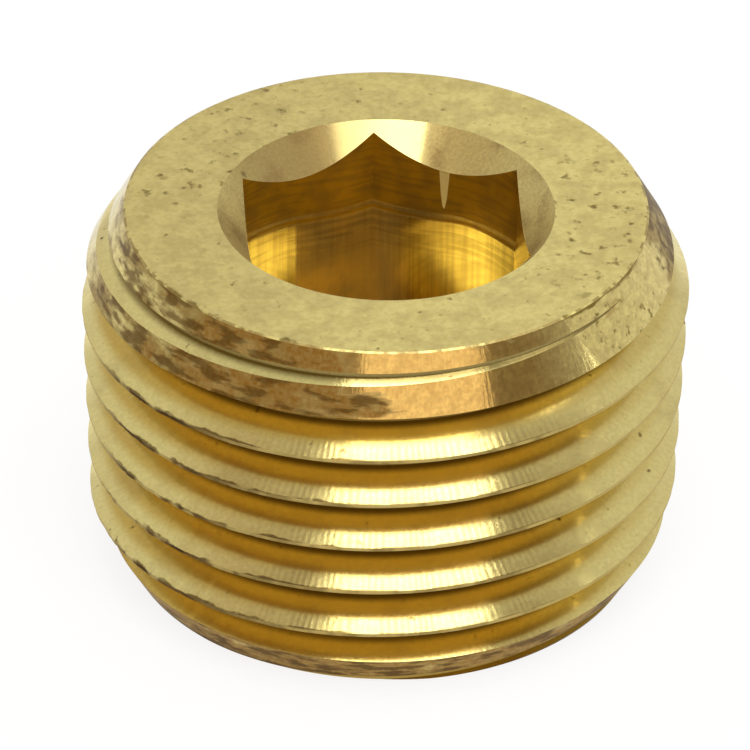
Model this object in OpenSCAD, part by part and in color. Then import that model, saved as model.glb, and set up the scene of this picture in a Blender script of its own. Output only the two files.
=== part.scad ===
// Brass taper pipe plug with a hexagon socket, standing on its plain end with the socket facing up.
// It is one turned piece: a right-hand taper thread between two chamfers, and a countersunk blind
// hexagon broached into a drilled pilot hole.

/* [Body] */
// Length from the plain end to the socket face
plug_l = 13.5; // [10:0.1:24]
// Thread diameter over the crests, carried up the taper to the socket face
thread_d = 21.3; // [18:0.1:30]
// Radial width of the chamfer round the socket face
face_chamfer = 1.65; // [0.8:0.05:2.2]
// Radial width of the chamfer round the plain end
end_chamfer = 1.25; // [0.6:0.05:2.2]
// Angle of both chamfers from the axis
chamfer_angle = 30; // [25:1:45]

/* [Thread] */
// Pitch of the thread, fourteen to the inch
thread_pitch = 1.814; // [1.4:0.001:2.3]
// Full angle between the flanks
flank_angle = 60; // [50:1:65]
// Length over which the thread diameter grows by one
taper_length = 16; // [12:1:32]
// Width of the flat left on each crest
crest_flat = 0.12; // [0.05:0.01:0.25]
// Width of the flat at the bottom of each groove
root_flat = 0.14; // [0.05:0.01:0.25]
// Turn of the whole thread about the axis
thread_turn = 87; // [0:1:359]

/* [Socket] */
// Width across the flats of the hexagon
socket_af = 9.525; // [6:0.005:11]
// Depth of the hexagon below the socket face
socket_depth = 8.5; // [5:0.1:9.5]
// Turn of the hexagon about the axis
socket_turn = 35; // [0:1:59]
// Diameter of the countersink at the socket face
mouth_d = 11.6; // [10:0.1:13.5]
// Full angle of the countersink
mouth_angle = 82; // [60:1:120]
// Diameter of the pilot hole that the hexagon is broached into
pilot_d = 9.5; // [6:0.1:10.5]
// Full angle of the drill point that ends the pilot hole
drill_angle = 118; // [90:1:140]

/* [Hidden] */
brass = [0.80, 0.68, 0.30];
overrun = 0.5;
taper_slope = 1 / (2 * taper_length);
crest_top_r = thread_d / 2;
crest_end_r = crest_top_r - plug_l * taper_slope;
face_r = crest_top_r - face_chamfer;
end_r = crest_end_r - end_chamfer;

// Thread section: groove floor, rising flank, crest and falling flank, one pitch in all
flank_w = (thread_pitch - crest_flat - root_flat) / 2;
thread_h = flank_w / tan(flank_angle / 2);
section_z = [0, root_flat, root_flat + flank_w, thread_pitch - flank_w];
section_depth = [thread_h, thread_h, 0, 0];
section_n = len(section_z);

// The helix runs past both ends of the plug, so that the end faces and chamfers trim it
turns = ceil(plug_l / thread_pitch) + 3;
most_steps = 1400;
turn_steps = min(72, floor(most_steps / turns));
steps = turns * turn_steps;
helix_low = -1.5 * thread_pitch;
helix_high = helix_low + (turns + 1) * thread_pitch;

// Socket sizes that follow from its width
socket_r = socket_af / 2 / cos(30);
mouth_h = mouth_d / 2 / tan(mouth_angle / 2);
drill_point_h = pilot_d / 2 / tan(drill_angle / 2);

function helix_z(step, row) = helix_low + thread_pitch * step / turn_steps + section_z[row];
function helix_r(step, row) =
    crest_end_r + helix_z(step, row) * taper_slope - section_depth[row];
function helix_angle(step) = thread_turn + 360 * step / turn_steps;
function helix_point(step, row) = [
    helix_r(step, row) * cos(helix_angle(step)),
    helix_r(step, row) * sin(helix_angle(step)),
    helix_z(step, row)
];
// Past its last row a step goes on with the first row of the next turn up
function helix_index(step, row) =
    row < section_n ? step * section_n + row : (step + turn_steps) * section_n;

module helix_body() {
    points = concat(
        [for (step = [0:steps]) for (row = [0:section_n - 1]) helix_point(step, row)],
        [[0, 0, helix_low], [0, 0, helix_high]]
    );
    low_centre = len(points) - 2;
    high_centre = len(points) - 1;
    last = section_n - 1;
    low_rim = concat(
        [for (step = [0:turn_steps]) helix_index(step, 0)],
        [for (row = [last:-1:1]) helix_index(0, row)]
    );
    high_rim = concat(
        [for (step = [steps - turn_steps:steps]) helix_index(step, last)],
        [for (row = [last - 1:-1:0]) helix_index(steps, row)]
    );
    sides = [
        for (step = [0:steps - 1])
            for (row = [0:last])
                if (row < last || step + 1 + turn_steps <= steps)
                    each [
                        [helix_index(step, row), helix_index(step, row + 1), helix_index(step + 1, row + 1)],
                        [helix_index(step, row), helix_index(step + 1, row + 1), helix_index(step + 1, row)]
                    ]
    ];
    low_cap = [
        for (i = [0:len(low_rim) - 1])
            [low_centre, low_rim[i], low_rim[(i + 1) % len(low_rim)]]
    ];
    high_cap = [
        for (i = [0:len(high_rim) - 1])
            [high_centre, high_rim[(i + 1) % len(high_rim)], high_rim[i]]
    ];
    polyhedron(points = points, faces = concat(sides, low_cap, high_cap), convexity = 12);
}

// The turned blank that trims the helix: both end faces and both chamfers, wide of the crests between
module end_trim() {
    wide_r = crest_top_r + overrun;
    chamfer_run = 1 / tan(chamfer_angle);
    rotate_extrude($fn = 96)
        polygon([
            [0, 0],
            [end_r, 0],
            [wide_r, (wide_r - end_r) * chamfer_run],
            [wide_r, plug_l - (wide_r - face_r) * chamfer_run],
            [face_r, plug_l],
            [0, plug_l]
        ]);
}

// The hexagon, its pilot hole with the drill point, and the countersunk mouth
module socket_cut() {
    translate([0, 0, plug_l - socket_depth])
        rotate([0, 0, socket_turn])
            cylinder(h = socket_depth + overrun, r = socket_r, $fn = 6);
    translate([0, 0, plug_l - socket_depth - drill_point_h])
        cylinder(h = drill_point_h, r1 = 0, r2 = pilot_d / 2, $fn = 96);
    translate([0, 0, plug_l - socket_depth])
        cylinder(h = socket_depth + overrun, d = pilot_d, $fn = 96);
    translate([0, 0, plug_l - mouth_h])
        cylinder(h = mouth_h, r1 = 0, r2 = mouth_d / 2, $fn = 96);
}

module plug_body() {
    color(brass)
        difference() {
            intersection() {
                helix_body();
                end_trim();
            }
            socket_cut();
        }
}

plug_body();
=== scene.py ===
import math
import bpy
from mathutils import Matrix, Vector


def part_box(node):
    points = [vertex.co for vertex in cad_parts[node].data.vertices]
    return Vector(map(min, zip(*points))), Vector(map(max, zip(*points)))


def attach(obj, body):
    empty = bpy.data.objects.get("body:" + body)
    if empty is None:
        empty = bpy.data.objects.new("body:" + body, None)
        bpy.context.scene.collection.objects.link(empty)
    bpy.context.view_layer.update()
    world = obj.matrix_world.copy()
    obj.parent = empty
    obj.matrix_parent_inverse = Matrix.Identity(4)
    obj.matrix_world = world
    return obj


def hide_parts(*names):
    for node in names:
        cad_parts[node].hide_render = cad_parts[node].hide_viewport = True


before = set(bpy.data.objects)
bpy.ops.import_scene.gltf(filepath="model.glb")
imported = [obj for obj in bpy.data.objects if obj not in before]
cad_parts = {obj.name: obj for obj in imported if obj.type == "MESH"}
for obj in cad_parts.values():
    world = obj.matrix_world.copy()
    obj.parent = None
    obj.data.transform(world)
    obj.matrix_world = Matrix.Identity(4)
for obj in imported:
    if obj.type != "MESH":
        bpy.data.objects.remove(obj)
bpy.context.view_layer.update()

# The bar and its thread: free-machining brass bar, turned to a slow taper, with a right-hand pipe thread
# cut into it. The ridge of the thread is swept up a tapering spiral and joined to a plain core. Its flanks
# keep the chatter of the cutting tool, and its crests are worn, ragged and tarnished. The gold deep in the
# grooves is a painted reflection, and the roots, the foot and the crests carry painted shade.
MM = 0.001
plug_low, plug_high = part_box("plug_body")
plug_length = plug_high.z - plug_low.z
pitch = 1.814 * MM
taper_slope = 1 / 32
crest_top_radius = 10.65 * MM
crest_end_radius = crest_top_radius - plug_length * taper_slope
half_flank_angle = math.radians(30)
crest_flat = 0.12 * MM
root_flat = 0.14 * MM
flank_width = (pitch - crest_flat - root_flat) / 2
thread_height = flank_width / math.tan(half_flank_angle)
ridge_sink = 0.05 * MM
thread_turn = math.radians(87)
turns_past_ends = 3
steps_a_turn = 480
round_corners = 384
crest_wear = 0.062 * MM
crest_chip = 0.045 * MM
crest_waver = 0.12 * MM
crest_burr = 0.055 * MM
chips_per_mm = 1.6
wavers_per_mm = 0.7
burrs_per_mm = 3.6
chatter_ribs = 280
dirt_shine = 0.1

PALE_BRASS = (0.81, 0.69, 0.27, 1)
PAINTED_GROOVE_GOLD = (0.62, 0.43, 0.10, 1)
BROWN_BRASS = (0.34, 0.23, 0.08, 1)
TARNISH_AND_SHADE = (0.13, 0.075, 0.016, 1)
CRUST_AND_SHADE = (0.06, 0.034, 0.007, 1)
RUBBED_CREST = (0.54, 0.43, 0.15, 1)


class NodeSheet:
    """Adds nodes to a tree: a plain value is written into a socket, another node's output is linked."""

    def __init__(self, tree):
        self.tree = tree

    def add(self, kind, settings=None, **sockets):
        node = self.tree.nodes.new(kind)
        for key, value in (settings or {}).items():
            setattr(node, key, value)
        for name, value in sockets.items():
            self.feed(node.inputs[name.replace("_", " ")], value)
        return node

    def feed(self, socket, value):
        for one in value if isinstance(value, list) else [value]:
            if isinstance(one, bpy.types.NodeSocket):
                self.tree.links.new(one, socket)
            else:
                socket.default_value = one

    def math(self, operation, *values):
        node = self.add("ShaderNodeMath", {"operation": operation})
        for socket, value in zip(node.inputs, values):
            self.feed(socket, value)
        return node.outputs[0]

    def both(self, first, second):
        return self.math("MULTIPLY", first, second)

    def either(self, first, second):
        return self.math("MAXIMUM", first, second)

    def outside(self, share):
        return self.math("SUBTRACT", 1.0, share)

    def scaled(self, value, by, plus):
        return self.math("MULTIPLY_ADD", value, by, plus)

    def vector(self, operation, first, second=(0, 0, 0)):
        node = self.add("ShaderNodeVectorMath", {"operation": operation})
        self.feed(node.inputs[0], first)
        self.feed(node.inputs["Scale" if operation == "SCALE" else 1], second)
        return node.outputs["Value" if operation in ("LENGTH", "DOT_PRODUCT") else "Vector"]

    def upward(self, value):
        return self.add("ShaderNodeCombineXYZ", Z=value).outputs["Vector"]

    def ramp(self, value, low, high, start=0.0, end=1.0):
        node = self.add("ShaderNodeMapRange", {"interpolation_type": "SMOOTHSTEP"}, Value=value,
                        From_Min=low, From_Max=high, To_Min=start, To_Max=end)
        return node.outputs["Result"]

    def noise(self, spot, scale, detail=2.0):
        node = self.add("ShaderNodeTexNoise", Vector=spot, Scale=scale, Detail=detail)
        return node.outputs[0]

    def blend(self, share, first, second):
        node = self.add("ShaderNodeMix", {"data_type": "RGBA"})
        self.feed(node.inputs[0], share)
        self.feed(node.inputs[6], first)
        self.feed(node.inputs[7], second)
        return node.outputs[2]


class BrassFinish(NodeSheet):
    """One finish of the brass, with coordinates that follow the lathe, in millimetres."""

    def __init__(self, name, metallic=1.0, shine=0.5, anisotropy=0.0, lay_turn=0.25):
        self.material = bpy.data.materials.new(name)
        self.material.use_nodes = True
        super().__init__(self.material.node_tree)
        self.shader = self.tree.nodes["Principled BSDF"]
        self.wire("Metallic", metallic)
        self.wire("Specular IOR Level", shine)
        if anisotropy:
            self.wire("Anisotropic", anisotropy)
            self.wire("Anisotropic Rotation", lay_turn)
            lay = self.add("ShaderNodeTangent", {"direction_type": "RADIAL", "axis": "Z"})
            self.wire("Tangent", lay.outputs["Tangent"])
        self.spot = self.vector("SCALE", self.add("ShaderNodeTexCoord").outputs["Object"], 1 / MM)
        level = self.vector("MULTIPLY", self.spot, (1, 1, 0))
        self.around = self.vector("NORMALIZE", level)
        self.radius = self.vector("LENGTH", level)
        self.height = self.add("ShaderNodeSeparateXYZ", Vector=self.spot).outputs["Z"]
        self.below_face = self.math("SUBTRACT", plug_length / MM, self.height)

    def wire(self, name, value):
        """Sets or links one input of the shader."""
        self.feed(self.shader.inputs[name], value)

    def cloud(self, per_mm, detail):
        """Soft patches, so many to a millimetre."""
        return self.noise(self.spot, per_mm, detail)

    def grain(self, size):
        return self.ramp(self.noise(self.spot, 1 / size, 3.0), 0.32, 0.68)

    def marks(self, lane, apart, run, detail=2.0):
        """Tool marks: noise that changes over `apart` millimetres of the lane and `run` radians around."""
        spot = self.vector("ADD", self.vector("SCALE", self.around, 1 / run),
                           self.upward(self.math("DIVIDE", lane, apart)))
        return self.noise(spot, 1.0, detail)

    def ribs(self, count):
        """Chatter of the tool: ribs spaced evenly all round, a little unsure of their place."""
        parts = self.add("ShaderNodeSeparateXYZ", Vector=self.spot).outputs
        angle = self.math("ARCTAN2", parts["Y"], parts["X"])
        wander = self.both(self.noise(self.around, 9.0), 12.0)
        return self.scaled(self.math("SINE", self.scaled(angle, count, wander)), 0.5, 0.5)

    def toward(self, degrees, full, gone):
        """One within `full` degrees of this bearing and nothing past `gone`, counted from front to right."""
        bearing = (math.sin(math.radians(degrees)), -math.cos(math.radians(degrees)), 0)
        near = math.cos(math.radians(full))
        far = math.cos(math.radians(gone))
        return self.ramp(self.vector("DOT_PRODUCT", self.around, bearing), far, near)

    def flecks(self, size, share):
        """Ragged dark flecks of this size, which cover more of the surface as the share grows."""
        ragged = self.noise(self.spot, 1 / size, 5.0)
        return self.ramp(self.math("ADD", ragged, share), 0.64, 0.76)

    def tint(self, colour, other, where, share=1.0):
        """Covers a colour with this share of another one, where `where` is one."""
        return self.blend(self.both(where, share), colour, other)

    def dress(self, colour, roughness, *reliefs):
        """Wires the colour, the roughness and each relief, a height from 0 to 1 with its rise."""
        self.wire("Base Color", colour)
        self.wire("Roughness", roughness)
        normal = None
        for height, rise in reliefs:
            bump = self.add("ShaderNodeBump", Height=height, Strength=1.0, Distance=rise * MM)
            if normal:
                self.feed(bump.inputs["Normal"], normal)
            normal = bump.outputs["Normal"]
        self.wire("Normal", normal)
        return self.material


def rubbed_sides(finish):
    """Where the crests are rubbed clean: at the far left and right."""
    return finish.either(finish.toward(90, 45, 72), finish.toward(-96, 22, 40))


def rubbed_gaps(finish):
    """Where the tarnish on the crests is broken."""
    return finish.ramp(finish.marks(finish.height, 1.1, 0.13, 3.0), 0.46, 0.58)


def thread_finish():
    """Flanks: pale near the crest, with a painted golden reflection in the groove, painted shade at the root
    and the foot, and chatter ribs in front.
    """
    finish = BrassFinish("thread_brass", anisotropy=0.85)
    crest_radius = finish.scaled(finish.height, taper_slope, crest_end_radius / MM)
    depth = finish.math("SUBTRACT", crest_radius, finish.radius)
    crown = finish.math("SMOOTH_MIN", depth, 0.6, 0.42)
    grain = finish.grain(0.15)

    strength = finish.ramp(finish.marks(finish.height, 3.0, 0.09), 0.35, 0.65, 0.3, 1.0)
    ribbed = finish.both(finish.toward(5, 18, 34), finish.ramp(depth, 0.75, 0.4))
    ribs = finish.both(finish.both(finish.ribs(chatter_ribs), strength), ribbed)

    # Painted reflection: the gold deep in the groove stands for light that bounces between the flanks.
    sunk = finish.scaled(finish.toward(-55, 20, 60), 0.08, depth)
    groove_reflection = finish.both(finish.ramp(sunk, 0.36, 0.78), finish.ramp(finish.below_face, 1.3, 2.5))
    groove_reflection = finish.both(groove_reflection, finish.scaled(finish.toward(90, 30, 66), -0.55, 1.0))
    stain = finish.ramp(finish.cloud(0.5, 5.0), 0.52, 0.72)
    colour = finish.tint(PALE_BRASS, PAINTED_GROOVE_GOLD, groove_reflection)
    colour = finish.tint(colour, BROWN_BRASS, grain, 0.16)
    colour = finish.tint(colour, BROWN_BRASS, ribs, 0.42)
    colour = finish.tint(colour, BROWN_BRASS, stain, 0.25)

    ragged = finish.marks(finish.height, 1.2, 0.09, 3.0)
    reach = finish.both(finish.math("SUBTRACT", ragged, 0.42), finish.toward(-65, 25, 75))
    clean = finish.either(rubbed_sides(finish), rubbed_gaps(finish))
    rim = finish.both(finish.ramp(finish.scaled(reach, -0.4, depth), 0.12, 0.06), finish.outside(clean))
    # Painted shade: the root under the overhang of the ridge above is darkened.
    root = finish.both(finish.ramp(depth, 1.02, 1.28), finish.ramp(finish.height, 1.0, 2.2))
    # Painted shade: the flanks darken toward the foot, where the plug stands on the floor.
    foot = finish.ramp(finish.height, 1.2, 0.8)
    colour = finish.tint(colour, TARNISH_AND_SHADE, rim, 0.85)
    colour = finish.tint(colour, TARNISH_AND_SHADE, root, 0.75)
    colour = finish.tint(colour, TARNISH_AND_SHADE, finish.flecks(0.45, -0.03))
    colour = finish.tint(colour, TARNISH_AND_SHADE, foot, 0.45)
    roughness = finish.scaled(ribs, 0.03, finish.scaled(grain, 0.04, 0.14))
    return finish.dress(colour, roughness, (crown, 0.25), (ribs, 0.0011), (grain, 0.0008))


def crest_finish():
    """Crests: dark with tarnish and painted shade, rubbed dull in front, behind and in gaps, and bare at the
    sides.
    """
    finish = BrassFinish("crest_brass", shine=dirt_shine)
    ragged = finish.marks(finish.height, 0.6, 0.08, 4.0)
    dull = finish.either(finish.toward(8, 22, 50), finish.toward(180, 40, 80))
    dull = finish.both(dull, finish.ramp(ragged, 0.35, 0.6, 0.5, 0.95))
    clean = finish.either(rubbed_sides(finish), finish.both(rubbed_gaps(finish), 0.8))
    # The dark of the crests is tarnish and also painted shade, for the dark floor that the crest flats
    # reflect.
    colour = finish.tint(CRUST_AND_SHADE, TARNISH_AND_SHADE, finish.ramp(ragged, 0.40, 0.66))
    colour = finish.tint(colour, RUBBED_CREST, finish.either(dull, clean))
    finish.wire("Metallic", clean)
    return finish.dress(colour, finish.ramp(ragged, 0.3, 0.7, 0.7, 0.5), (ragged, 0.01))


thread_brass = thread_finish()
crest_brass = crest_finish()

plug_tree = bpy.data.node_groups.new("taper_plug", "GeometryNodeTree")
plug_tree.interface.new_socket("Plug", in_out="OUTPUT", socket_type="NodeSocketGeometry")
bench = NodeSheet(plug_tree)
plug_sizes = {}
finishes = []


def size(name, value):
    """A named input of the plug's tree, which the modifier sets to this value."""
    socket = plug_tree.interface.new_socket(name, in_out="INPUT", socket_type="NodeSocketFloat")
    plug_sizes[socket.identifier] = value
    return bench.add("NodeGroupInput").outputs[name]


def stamp(geometry, finish, where=True):
    """Numbers the faces that one tool leaves, so that they get its finish once the plug is whole."""
    if finish not in finishes:
        finishes.append(finish)
    stamped = bench.add("GeometryNodeStoreNamedAttribute", {"data_type": "INT", "domain": "FACE"},
                        Geometry=geometry, Selection=where, Name="cut", Value=finishes.index(finish))
    return stamped.outputs["Geometry"]


def place(geometry, shift, turn=0.0):
    rotation = bench.add("FunctionNodeEulerToRotation", Euler=bench.upward(turn)).outputs["Rotation"]
    placed = bench.add("GeometryNodeTransform", Geometry=geometry, Translation=shift, Rotation=rotation)
    return placed.outputs["Geometry"]


def cone(label, low, high, low_radius, high_radius, side_finish, end_finish=None, corners=round_corners,
         turn=0.0):
    """A turned or drilled form: its side and its two ends each leave their own finish on the brass."""
    foot = size(f"{label} foot", low)
    depth = bench.math("SUBTRACT", size(f"{label} top", high), foot)
    solid = bench.add("GeometryNodeMeshCone", Vertices=corners, Depth=depth,
                      Radius_Bottom=size(f"{label} foot radius", low_radius),
                      Radius_Top=size(f"{label} top radius", high_radius))
    geometry = stamp(solid.outputs["Mesh"], side_finish)
    for end in ("Top", "Bottom"):
        geometry = stamp(geometry, end_finish or side_finish, solid.outputs[end])
    return place(geometry, bench.upward(foot), turn)


def join(operation, *solids, first=None):
    node = bench.add("GeometryNodeMeshBoolean", {"operation": operation, "solver": "MANIFOLD"},
                     Mesh_2=list(solids))
    if first:
        bench.feed(node.inputs["Mesh 1"], first)
    return node.outputs["Mesh"]


def position():
    return bench.add("GeometryNodeInputPosition").outputs["Position"]


def ridge_section():
    """The section of the ridge, a trapezoid that points outwards, with the corners of its crest marked."""
    height = thread_height + ridge_sink
    foot_width = crest_flat + 2 * height * math.tan(half_flank_angle)
    section = bench.add("GeometryNodeCurvePrimitiveQuadrilateral", {"mode": "TRAPEZOID"}, Offset=0.0,
                        Height=size("Ridge height", height),
                        Bottom_Width=size("Ridge foot width", foot_width),
                        Top_Width=size("Crest flat", crest_flat))
    outward = bench.add("GeometryNodeTransform", Geometry=section.outputs["Curve"],
                        Translation=((thread_height - ridge_sink) / 2, 0, 0),
                        Rotation=(0, 0, -math.pi / 2))
    corner = bench.add("ShaderNodeSeparateXYZ", Vector=position())
    on_top = bench.add("FunctionNodeCompare", {"operation": "GREATER_THAN"}, A=corner.outputs["X"],
                       B=thread_height / 2)
    marked = bench.add("GeometryNodeStoreNamedAttribute", {"data_type": "FLOAT", "domain": "POINT"},
                       Geometry=outward.outputs["Geometry"], Name="crest", Value=on_top.outputs["Result"])
    return marked.outputs["Geometry"]


def worn_crest(ridge):
    """Wears the crest down all round, and leaves it ragged on the left and a little on the right."""
    crest = bench.add("GeometryNodeInputNamedAttribute", {"data_type": "FLOAT"}, Name="crest")
    # A face counts as crest only where all its corners do.
    is_crest = bench.math("GREATER_THAN", crest.outputs["Attribute"], 0.9)
    spot = bench.vector("SCALE", position(), 1 / MM)
    out = bench.vector("NORMALIZE", bench.vector("MULTIPLY", spot, (1, 1, 0)))
    leftward = bench.vector("DOT_PRODUCT", out, (-math.cos(thread_turn), math.sin(thread_turn), 0))
    left = bench.both(bench.ramp(leftward, 0.3, 0.6), bench.ramp(leftward, 0.90, 0.98, 1.0, 0.35))
    ragged = bench.either(left, bench.ramp(leftward, -0.6, -0.9, 0.0, 0.3))
    waver = bench.math("SUBTRACT", bench.noise(spot, wavers_per_mm), 0.5)
    waver = bench.both(waver, size("Waver", crest_waver))
    burr = bench.math("SUBTRACT", bench.noise(spot, burrs_per_mm), 0.5)
    burr = bench.both(burr, size("Burr", crest_burr))
    chip = bench.both(bench.ramp(bench.noise(spot, chips_per_mm), 0.45, 0.75), size("Chip", crest_chip))
    inward = bench.math("ADD", bench.both(chip, ragged), size("Crest wear", crest_wear))
    wander = bench.both(bench.math("ADD", waver, burr), ragged)
    shift = bench.vector("ADD", bench.vector("SCALE", out, bench.both(inward, -1.0)), bench.upward(wander))
    worn = bench.add("GeometryNodeSetPosition", Geometry=ridge, Selection=is_crest, Offset=shift)
    return stamp(stamp(worn.outputs["Geometry"], thread_brass), crest_brass, is_crest)


def thread_ridge(low, turns):
    """The ridge runs past both ends of the plug, with its foot sunk a little into the core."""
    centre = low + root_flat + flank_width + crest_flat / 2
    rise = turns * pitch
    start_radius = crest_end_radius + centre * taper_slope - thread_height
    spiral = bench.add("GeometryNodeCurveSpiral", Resolution=steps_a_turn, Reverse=True,
                       Rotations=size("Thread turns", turns),
                       Start_Radius=size("Thread foot radius", start_radius),
                       End_Radius=size("Thread top radius", start_radius + rise * taper_slope),
                       Height=size("Thread rise", rise))
    path = bench.add("GeometryNodeSetCurveNormal", {"mode": "Z_UP"}, Curve=spiral.outputs["Curve"])
    ridge = bench.add("GeometryNodeCurveToMesh", Curve=path.outputs["Curve"], Profile_Curve=ridge_section(),
                      Fill_Caps=True)
    return place(worn_crest(ridge.outputs["Mesh"]), bench.upward(size("Thread foot", centre)),
                 size("Thread start", thread_turn))


thread_turns = math.ceil(plug_length / pitch) + turns_past_ends
thread_low = -pitch * turns_past_ends / 2
thread_high = thread_low + thread_turns * pitch
root_end_radius = crest_end_radius - thread_height
core = cone("Core", thread_low, thread_high, root_end_radius + thread_low * taper_slope,
            root_end_radius + thread_high * taper_slope, thread_brass)
threaded_bar = join("UNION", core, thread_ridge(thread_low, thread_turns))

# The two ends: the socket end faced flat and the plain end parted off, each with a chamfer turned at thirty
# degrees to the axis, which runs through the thread. Both are bare brass with flecks, lathe marks and dirt;
# the face has painted shade on its left, and the dirt at the foot carries painted shade.
face_radius = 9.0 * MM
end_radius = crest_end_radius - 1.25 * MM
chamfer_spread = math.tan(math.radians(30))
edge_break = 0.05 * MM
edge_spread = math.tan(math.radians(60))
overrun = 1 * MM

FACED_BRASS = (0.90, 0.77, 0.285, 1)
FLECK = (0.18, 0.12, 0.012, 1)
MUD = (0.23, 0.108, 0.011, 1)
DUST = (0.26, 0.18, 0.05, 1)
CAKED_DIRT = (0.10, 0.053, 0.009, 1)
FOOT_MUD_AND_SHADE = (0.34, 0.20, 0.045, 1)


def faced_finish():
    """The faced end: brown blotches, flecks at two sides, a dirty rim at the left, painted shade over the
    left side and a nicked edge.
    """
    finish = BrassFinish("faced_brass", metallic=0.92)
    inside_edge = finish.math("SUBTRACT", face_radius / MM, finish.radius)
    grain = finish.grain(0.20)
    rings = finish.marks(finish.radius, 0.09, 0.5)
    blotch = finish.ramp(finish.cloud(1.3, 4.0), 0.38, 0.66)
    flecked = finish.either(finish.toward(-125, 20, 50), finish.toward(85, 15, 45))
    flecks = finish.either(finish.flecks(0.42, 0.0), finish.both(finish.flecks(0.5, 0.055), flecked))
    rim = finish.ramp(finish.scaled(finish.cloud(1.3, 5.0), -1.1, inside_edge), -0.50, -0.64)
    rim = finish.both(rim, finish.toward(-42, 22, 42))
    nicks = finish.ramp(finish.marks(finish.height, 3.0, 0.06, 3.0), 0.46, 0.54)
    nicks = finish.both(nicks, finish.ramp(inside_edge, 0.07, 0.04))
    colour = finish.tint(FACED_BRASS, BROWN_BRASS, grain, 0.20)
    colour = finish.tint(colour, BROWN_BRASS, blotch, 0.26)
    # Painted shade: the left side of the face is darker.
    colour = finish.tint(colour, BROWN_BRASS, finish.toward(-100, 30, 110), 0.22)
    colour = finish.tint(colour, FLECK, flecks, 0.85)
    colour = finish.tint(colour, FLECK, rim, 0.8)
    colour = finish.tint(colour, BROWN_BRASS, nicks, 0.75)
    roughness = finish.scaled(grain, 0.14, 0.30)
    hollows = finish.both(flecks, -1.0)
    return finish.dress(colour, roughness, (grain, 0.0045), (rings, 0.001), (hollows, 0.012))


def spattered(finish, far_right, smeared):
    """Uneven cover of the chamfers' dirt: streaks along the lathe marks, blots at the right, one smear."""
    streaks = finish.marks(finish.height, 0.26, 0.11, 4.0)
    blots = finish.math("SUBTRACT", finish.cloud(1.5, 4.0), streaks)
    return finish.scaled(smeared, 0.18, finish.scaled(far_right, blots, streaks))


def dirt_film(finish, far_right, foot_dirt_and_shade, smeared):
    """Where a thin film of dirt lies on the chamfers, with painted shade mixed in at the foot."""
    left = finish.either(finish.toward(-28, 15, 24), finish.both(finish.toward(-64, 18, 38), 0.6))
    right = finish.both(far_right, 0.9)
    dirty = finish.either(finish.either(left, right), finish.either(foot_dirt_and_shade, smeared))
    streaks = finish.marks(finish.height, 0.7, 0.22, 4.0)
    film = finish.ramp(finish.scaled(dirty, 0.40, streaks), 0.64, 0.82)
    return finish.both(film, finish.scaled(finish.grain(0.16), 0.25, 0.75))


def dirt_crust(finish, far_right, foot_dirt_and_shade, spatter):
    """Where dirt is caked on the chamfers, with painted shade mixed in at the foot, and on the scraped edge
    of the plain end.
    """
    sides = finish.either(finish.toward(-48, 18, 40), finish.both(far_right, 1.3))
    caked = finish.ramp(finish.scaled(finish.either(sides, foot_dirt_and_shade), 0.20, spatter), 0.64, 0.80)
    scraped = finish.ramp(finish.scaled(spatter, 0.6, finish.height), 0.65, 0.40, 0.0, 0.75)
    return finish.either(caked, scraped)


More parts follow.
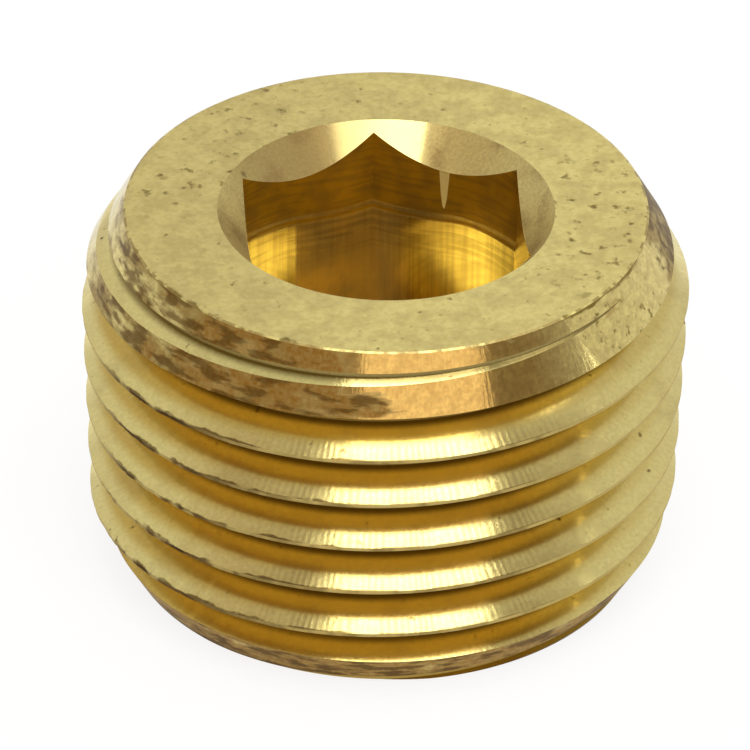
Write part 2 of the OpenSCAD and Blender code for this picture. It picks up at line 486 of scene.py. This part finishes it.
def chamfer_finish():
    """The chamfers: bright and ringed in front, weathered at the right, dirty at the left, and dirty with
    painted shade at the foot.
    """
    finish = BrassFinish("chamfer_brass", shine=dirt_shine, anisotropy=0.8)
    far_right = finish.toward(102, 10, 32)
    # Dirt and painted shade toward the foot, where the lower chamfer faces the plug's own shadow on the
    # floor.
    foot_dirt_and_shade = finish.ramp(finish.height, 3.5, 1.2)
    smeared = finish.ramp(finish.below_face, 2.05, 1.8)
    smeared = finish.both(smeared, finish.ramp(finish.below_face, 1.1, 1.4))
    smeared = finish.both(smeared, finish.toward(-7, 5, 11))
    spatter = spattered(finish, far_right, smeared)
    film = dirt_film(finish, far_right, foot_dirt_and_shade, smeared)
    crust = dirt_crust(finish, far_right, foot_dirt_and_shade, spatter)

    sideways = finish.vector("DOT_PRODUCT", finish.around, (1, 0, 0))
    weathered = finish.ramp(finish.scaled(finish.height, 0.035, sideways), 1.131, 1.156)
    grain = finish.grain(0.14)
    rings = finish.marks(finish.height, 0.09, 0.35)
    chatter = finish.ramp(finish.marks(finish.height, 0.6, 0.012, 3.0), 0.35, 0.65)
    chatter = finish.both(chatter, finish.outside(weathered))
    patches = finish.ramp(finish.marks(finish.height, 0.32, 0.04, 4.0), 0.42, 0.60)
    rim = finish.ramp(finish.scaled(spatter, -0.5, finish.below_face), -0.12, -0.20)
    rim = finish.both(rim, finish.toward(62, 14, 30))
    flecks = finish.either(rim, finish.both(finish.flecks(0.32, 0.05), weathered))
    colour = finish.tint(PALE_BRASS, BROWN_BRASS, grain, 0.24)
    colour = finish.tint(colour, BROWN_BRASS, chatter, 0.16)
    colour = finish.tint(colour, BROWN_BRASS, patches, 0.24)
    colour = finish.tint(colour, FLECK, flecks, 0.85)

    dry_side = finish.either(finish.toward(-82, 10, 45), finish.toward(100, 25, 50))
    dusty = finish.ramp(finish.scaled(dry_side, 0.26, finish.cloud(0.7, 4.0)), 0.50, 0.66)
    # At the foot the dirt colour also carries painted shade.
    dirt = finish.tint(finish.tint(MUD, DUST, dusty), FOOT_MUD_AND_SHADE, foot_dirt_and_shade)
    colour = finish.tint(colour, dirt, film, 0.95)
    colour = finish.tint(colour, CAKED_DIRT, crust, 0.8)
    covered = finish.either(film, crust)
    finish.wire("Metallic", finish.scaled(covered, -0.8, 1.0))
    finish.wire("Anisotropic", finish.scaled(weathered, -0.8, 0.8))
    clean = finish.scaled(rings, 0.08, finish.scaled(grain, 0.03, 0.11))
    dull_foot = finish.ramp(finish.height, 3.0, 2.3, 0.0, 0.3)
    dull = finish.scaled(covered, 0.05, finish.scaled(weathered, 0.26, dull_foot))
    roughness = finish.math("ADD", clean, dull)
    return finish.dress(colour, roughness, (rings, 0.0015), (chatter, 0.0006), (patches, 0.0006))


def parted_finish():
    """The plain end: coarse rings of the parting tool and brown smears."""
    finish = BrassFinish("parted_brass", anisotropy=0.4)
    grain = finish.grain(0.12)
    rings = finish.marks(finish.radius, 0.16, 0.8)
    smear = finish.ramp(finish.cloud(0.5, 5.0), 0.45, 0.7)
    colour = finish.tint(PALE_BRASS, BROWN_BRASS, grain, 0.22)
    colour = finish.tint(colour, BROWN_BRASS, smear, 0.5)
    return finish.dress(colour, finish.scaled(rings, 0.2, 0.2), (rings, 0.012), (grain, 0.003))


faced_brass = faced_finish()
chamfer_brass = chamfer_finish()
parted_brass = parted_finish()
wide_run = plug_length + overrun
upper_blank = cone("Face chamfer", -overrun, plug_length, face_radius + wide_run * chamfer_spread,
                   face_radius, chamfer_brass, faced_brass)
edge_radius = face_radius - edge_break
broken_edge = cone("Face edge", -overrun, plug_length, edge_radius + wide_run * edge_spread, edge_radius,
                   faced_brass)
lower_blank = cone("End chamfer", 0.0, wide_run, end_radius, end_radius + wide_run * chamfer_spread,
                   chamfer_brass, parted_brass)
turned_bar = join("INTERSECT", threaded_bar, upper_blank, broken_edge, lower_blank)

# The socket: a blind hole drilled into the faced end, countersunk, and broached to a hexagon for a key. The
# broach leaves smooth walls, stained brown with painted shade of the deep hole and painted gold reflection
# lower down, with a sliver of the pilot hole on the flats, and the drill point and the countersink leave
# their own rings. The countersink carries a painted highlight at the back and painted shade at the
# back-left.
socket_radius = 9.525 * MM / 2 / math.cos(math.radians(30))
socket_depth = 8.5 * MM
socket_turn = math.radians(35)
mouth_radius = 5.8 * MM
mouth_spread = math.tan(math.radians(41))
pilot_radius = 4.75 * MM
drill_spread = math.tan(math.radians(59))
bell_depth = 2.75 * MM
bell_radius = 4.7525 * MM
bell_spread = 0.0027
bell_bearing = math.radians(65)
bell_aside = 0.01 * MM
stain_height = 10.08
bright_line_height = 10.40

BROACHED_BRASS = (0.90, 0.70, 0.19, 1)
DRILLED_BRASS = (0.84, 0.68, 0.26, 1)
SOCKET_STAIN_AND_SHADE = (0.38, 0.195, 0.007, 1)
SOCKET_REFLECTED_GOLD = (0.80, 0.41, 0.016, 1)


def arc_level(finish, across):
    """Height counted along the arcs on the walls, which rise from the middle and fall again at the sides."""
    level = finish.scaled(finish.both(across, across), -0.046, finish.height)
    aside = finish.math("ABSOLUTE", finish.math("ADD", across, 0.45))
    aside = finish.either(finish.math("SUBTRACT", aside, 2.5), 0.0)
    return finish.scaled(finish.both(aside, aside), 0.19, level)


def broached_finish():
    """The walls: upright broach lines and scored arcs, with a brown stain and painted shade above them and
    in the middle, and a painted golden reflection lower down.
    """
    finish = BrassFinish("broached_brass", shine=dirt_shine, anisotropy=0.4, lay_turn=0.0)
    lines = finish.noise(finish.vector("MULTIPLY", finish.spot, (9.0, 9.0, 0.25)), 1.0, 3.0)
    across = finish.vector("DOT_PRODUCT", finish.spot, (1, 0, 0))
    level = arc_level(finish, across)
    drawn_out = finish.vector("MULTIPLY", finish.spot, (0.4, 0.4, 0.0))
    waves = finish.noise(finish.vector("ADD", drawn_out, finish.upward(finish.both(level, 6.0))), 1.0, 3.0)
    scores = finish.both(finish.ramp(waves, 0.46, 0.58), finish.ramp(level, 8.0, 9.4))

    wavy_level = finish.scaled(waves, 0.2, level)
    off_line = finish.math("ABSOLUTE", finish.math("SUBTRACT", wavy_level, bright_line_height))
    bright_line = finish.ramp(off_line, 0.12, 0.04)
    # Stain and painted shade: the walls are dark brown above the arcs and in the middle, turning to a
    # painted golden reflection lower down; the bright line thins it along one arc.
    upper_stain_and_shade = finish.ramp(wavy_level, stain_height, stain_height + 0.10)
    upper_stain_and_shade = finish.both(upper_stain_and_shade, finish.scaled(bright_line, -0.35, 1.0))
    middle_stain_and_shade = finish.both(finish.ramp(across, -3.2, -3.05), finish.ramp(across, 1.2, -0.8))
    stain_and_shade = finish.either(upper_stain_and_shade, finish.both(middle_stain_and_shade, 0.78))
    stain = finish.tint(SOCKET_STAIN_AND_SHADE, SOCKET_REFLECTED_GOLD, finish.ramp(level, 9.2, 7.2))
    stain = finish.tint(stain, TARNISH_AND_SHADE, finish.ramp(finish.cloud(1.1, 5.0), 0.38, 0.66), 0.4)
    colour = finish.tint(BROACHED_BRASS, BROWN_BRASS, finish.ramp(lines, 0.35, 0.7), 0.35)
    colour = finish.tint(colour, stain, stain_and_shade)
    colour = finish.tint(colour, TARNISH_AND_SHADE, scores, 0.3)
    finish.wire("Metallic", finish.scaled(stain_and_shade, -0.75, 1.0))
    scuffed = finish.ramp(finish.height, 9.4, 11.2, 0.05, 0.13)
    corner = finish.ramp(finish.radius, 4.95, 5.35, 0.0, 0.08)
    roughness = finish.scaled(lines, 0.05, finish.math("ADD", scuffed, corner))
    return finish.dress(colour, roughness, (lines, 0.0006), (scores, 0.0002))


def drilled_finish():
    """The floor: rings of the drill, browned toward the walls."""
    finish = BrassFinish("drilled_brass", anisotropy=0.7)
    rings = finish.marks(finish.radius, 0.14, 0.9)
    grain = finish.grain(0.12)
    ragged = finish.scaled(finish.cloud(1.2, 4.0), 0.6, finish.radius)
    colour = finish.tint(DRILLED_BRASS, BROWN_BRASS, grain, 0.2)
    colour = finish.tint(colour, BROWN_BRASS, finish.ramp(rings, 0.42, 0.62), 0.4)
    colour = finish.tint(colour, BROWN_BRASS, finish.ramp(ragged, 4.25, 4.6), 0.6)
    return finish.dress(colour, finish.scaled(grain, 0.06, 0.30), (rings, 0.012), (grain, 0.001))


def pits(finish, apart, width, share):
    """Small ragged pits in this share of the cells of a loose net."""
    cells = finish.add("ShaderNodeTexVoronoi", Vector=finish.spot, Scale=1 / apart)
    inside = finish.ramp(cells.outputs["Distance"], width / apart, 0.5 * width / apart)
    pick = finish.add("ShaderNodeSeparateColor", Color=cells.outputs["Color"])
    chosen = finish.math("GREATER_THAN", pick.outputs["Red"], 1 - share)
    ragged = finish.ramp(finish.noise(finish.spot, 1.6 / width), 0.36, 0.5)
    return finish.both(finish.both(inside, chosen), ragged)


def mouth_finish():
    """The countersink: browned and pitted, with painted shade at the back-left, smoother at the back where a
    painted highlight keeps its colour pale, with the pilot's sliver below it.
    """
    finish = BrassFinish("mouth_brass")
    grain = finish.grain(0.10)
    rings = finish.marks(finish.radius, 0.10, 0.4)
    smear = finish.ramp(finish.cloud(0.8, 5.0), 0.45, 0.7)
    # The back is smoother, and a painted highlight keeps its colour pale there.
    polish_and_highlight = finish.toward(184, 16.5, 21)
    sliver = finish.ramp(finish.below_face, 1.1, 1.3)
    browned = finish.scaled(grain, 0.24, finish.scaled(smear, 0.40, 0.27))
    browned = finish.both(browned, finish.both(finish.outside(polish_and_highlight), finish.outside(sliver)))
    colour = finish.tint(PALE_BRASS, BROWN_BRASS, browned)
    # Painted shade on the back-left of the countersink.
    colour = finish.tint(colour, BROWN_BRASS, finish.toward(-142, 14, 42), 0.6)
    colour = finish.tint(colour, TARNISH_AND_SHADE, pits(finish, 1.2, 0.22, 0.14), 0.7)
    finish.wire("Metallic", finish.scaled(sliver, -0.5, 0.8))
    roughness = finish.scaled(polish_and_highlight, -0.28, finish.scaled(grain, 0.06, 0.38))
    return finish.dress(colour, roughness, (grain, 0.0002), (rings, 0.0002))


broached_brass = broached_finish()
drilled_brass = drilled_finish()
mouth_brass = mouth_finish()
floor_height = plug_length - socket_depth
hexagon = cone("Hexagon", floor_height, wide_run, socket_radius, socket_radius, broached_brass,
               drilled_brass, corners=6, turn=size("Hexagon turn", socket_turn))
drill_tip = floor_height - pilot_radius / drill_spread
drill_point = cone("Drill point", drill_tip, floor_height, 0.0, pilot_radius, drilled_brass)
mouth = cone("Countersink", plug_length - mouth_radius / mouth_spread, wide_run, 0.0,
             mouth_radius + overrun * mouth_spread, mouth_brass)
bell = cone("Bell mouth", plug_length - bell_depth, wide_run, bell_radius,
            bell_radius + (bell_depth + overrun) * bell_spread, mouth_brass)
bell_shift = (bell_aside * math.cos(bell_bearing), bell_aside * math.sin(bell_bearing), 0)
plug = join("DIFFERENCE", hexagon, drill_point, mouth, place(bell, bell_shift), first=turned_bar)

# The finished plug: the tree's solid with its hard edges kept sharp and the finish that each tool left,
# turned into a plain mesh that stands for the one piece of brass.
crease_angle = math.radians(15)
edge_angle = bench.add("GeometryNodeInputMeshEdgeAngle").outputs["Unsigned Angle"]
hard_edges = bench.math("GREATER_THAN", edge_angle, size("Crease angle", crease_angle))
creased = bench.add("GeometryNodeSetShadeSmooth", {"domain": "EDGE"}, Geometry=plug, Selection=hard_edges,
                    Shade_Smooth=False)
finished = bench.add("GeometryNodeRealizeInstances", Geometry=creased.outputs["Geometry"])
cut = bench.add("GeometryNodeInputNamedAttribute", {"data_type": "INT"}, Name="cut").outputs["Attribute"]
for number, finish in enumerate(finishes):
    is_cut = bench.math("COMPARE", cut, number, 0.5) if number else True
    finished = bench.add("GeometryNodeSetMaterial", Geometry=finished.outputs["Geometry"], Material=finish,
                         Selection=is_cut)
bench.feed(bench.add("NodeGroupOutput").inputs["Plug"], finished.outputs["Geometry"])

plug_maker = bpy.data.objects.new("plug_maker", bpy.data.meshes.new("plug_maker"))
bpy.context.scene.collection.objects.link(plug_maker)
lathe = plug_maker.modifiers.new("lathe", "NODES")
lathe.node_group = plug_tree
for identifier, value in plug_sizes.items():
    lathe[identifier] = value
turned = plug_maker.evaluated_get(bpy.context.evaluated_depsgraph_get())
plug_mesh = bpy.data.meshes.new_from_object(turned)
plug_mesh.name = "plug_skin"
# The mesh comes with one empty slot before those of its finishes.
empty_slot = plug_mesh.materials[:].index(None)
plug_mesh.materials.pop(index=empty_slot)
bpy.data.objects.remove(plug_maker)
plug_skin = bpy.data.objects.new("plug_skin", plug_mesh)
bpy.context.scene.collection.objects.link(plug_skin)
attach(plug_skin, "root")
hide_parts("plug_body")

# The floor: a wide sheet of white paper that keeps the plug's soft shadow. It reads as white to the camera
# and in the metal.
floor_reach = 2.0
paper_roughness = 0.9
paper_shine = 0.1
paper_glow = 1.04
glow_share = 0.82
PAPER_WHITE = (0.9, 0.9, 0.89, 1)
floor_corners = [(x * floor_reach, y * floor_reach, 0) for x, y in ((-1, -1), (1, -1), (1, 1), (-1, 1))]
floor_mesh = bpy.data.meshes.new("floor")
floor_mesh.from_pydata(floor_corners, [], [(0, 1, 2, 3)])
floor = bpy.data.objects.new("floor", floor_mesh)
bpy.context.scene.collection.objects.link(floor)
paper = bpy.data.materials.new("floor_paper")
paper.use_nodes = True
paper_sheet = NodeSheet(paper.node_tree)
paper_shader = paper.node_tree.nodes["Principled BSDF"]
paper_shader.inputs["Base Color"].default_value = PAPER_WHITE
paper_shader.inputs["Roughness"].default_value = paper_roughness
paper_shader.inputs["Specular IOR Level"].default_value = paper_shine
ray = paper_sheet.add("ShaderNodeLightPath").outputs
seen = paper_sheet.either(ray["Is Camera Ray"], ray["Is Glossy Ray"])
seen = paper_sheet.either(seen, ray["Is Transmission Ray"])
glow = paper_sheet.add("ShaderNodeEmission", Color=(1, 1, 1, 1), Strength=paper_glow)
mixed = paper_sheet.add("ShaderNodeMixShader", Fac=paper_sheet.both(seen, glow_share))
paper_sheet.feed(mixed.inputs[1], paper_shader.outputs["BSDF"])
paper_sheet.feed(mixed.inputs[2], glow.outputs["Emission"])
paper_sheet.feed(paper.node_tree.nodes["Material Output"].inputs["Surface"], mixed.outputs["Shader"])
floor_mesh.materials.append(paper)

# The room and its lamps: pale walls behind the plug, a dim room in front of it, and soft boxes overhead,
# above the camera and at the right, which light the flanks and give the thread, the countersink and the
# chamfer their highlights.
lamp_height = 0.45
WHITE_LIGHT = (1, 1, 1)
WARM_LIGHT = (1.0, 0.70, 0.50)
BACK_WALL = (0.74, 0.73, 0.71, 1)
DIM_ROOM = (0.27, 0.19, 0.115, 1)
WARM_ROOM = (0.42, 0.27, 0.16, 1)
CEILING = (0.66, 0.655, 0.62, 1)
room = bpy.data.worlds.new("room")
bpy.context.scene.world = room
room.use_nodes = True
room_sheet = NodeSheet(room.node_tree)
outlook = room_sheet.add("ShaderNodeTexCoord").outputs["Generated"]
aim = room_sheet.add("ShaderNodeSeparateXYZ", Vector=outlook).outputs
front = room_sheet.blend(room_sheet.ramp(aim["X"], 0.1, -0.4), DIM_ROOM, WARM_ROOM)
walls = room_sheet.blend(room_sheet.ramp(aim["Y"], -0.55, 0.2), front, BACK_WALL)
inside = room_sheet.blend(room_sheet.ramp(aim["Z"], 0.6, 0.95), walls, CEILING)
room_sheet.feed(room.node_tree.nodes["Background"].inputs["Color"], inside)


def soft_box(name, place_at, aim_at, width, depth, radiance, colour=WHITE_LIGHT):
    lamp = bpy.data.lights.new(name, "AREA")
    lamp.shape = "RECTANGLE"
    lamp.size = width
    lamp.size_y = depth
    lamp.color = colour
    lamp.energy = radiance * math.pi * width * depth
    box = bpy.data.objects.new(name, lamp)
    bpy.context.scene.collection.objects.link(box)
    box.visible_camera = False
    box.location = place_at
    box.rotation_euler = (Vector(aim_at) - Vector(place_at)).to_track_quat("-Z", "Y").to_euler()


def hung_box(name, x, y, width, depth, radiance):
    """A soft box that hangs at the lamps' height and faces straight down."""
    soft_box(name, (x, y, lamp_height), (x, y, 0), width, depth, radiance)


plug_middle = (0, 0, plug_length / 2)
hung_box("overhead_box", 0.032, -0.0875, 0.222, 0.175, 3.3)
hung_box("thread_box", 0.056, -0.23, 0.378, 0.11, 3.4)
hung_box("front_box", 0.066, -0.36, 0.565, 0.12, 2.6)
hung_box("flank_box", 0.225, 0.075, 0.15, 0.18, 1.2)
soft_box("warm_box", (0.123, -0.4235, 0.235), plug_middle, 0.407, 0.24, 1.0, WARM_LIGHT)
soft_box("side_strip", (0.454, -0.048, 0.203), plug_middle, 0.007, 0.20, 7.0)

# The camera: a long lens in front of the plug, looking down on its socket from a little over thirty degrees,
# set so that the middle of the socket face falls where the photo has it.
photo_size = 750
focal_pixels = 7886
face_centre_pixel = (386.19, 208.22)
view_distance = 270.7 * MM
view_elevation = 0.565
view_roll = 0.0151
camera_data = bpy.data.cameras.new("camera")
camera_data.sensor_width = 36
camera_data.lens = camera_data.sensor_width * focal_pixels / photo_size
camera_data.clip_start = 0.01
camera = bpy.data.objects.new("camera", camera_data)
bpy.context.scene.collection.objects.link(camera)
bpy.context.scene.camera = camera
toward_camera = Vector((0, -math.cos(view_elevation), math.sin(view_elevation)))
roll = Matrix.Rotation(view_roll, 3, toward_camera)
right = roll @ Vector((1, 0, 0))
up = toward_camera.cross(right)
off_right = (photo_size / 2 - face_centre_pixel[0]) / focal_pixels
off_down = (photo_size / 2 - face_centre_pixel[1]) / focal_pixels
look = (right * off_right - up * off_down - toward_camera).normalized()
camera_right = look.cross(up).normalized()
camera_up = camera_right.cross(look)
stand = Vector((0, 0, plug_high.z)) + toward_camera * view_distance
facing = Matrix((camera_right, camera_up, -look)).transposed().to_4x4()
camera.matrix_world = Matrix.Translation(stand) @ facing

bpy.context.scene.view_settings.view_transform = "Standard"
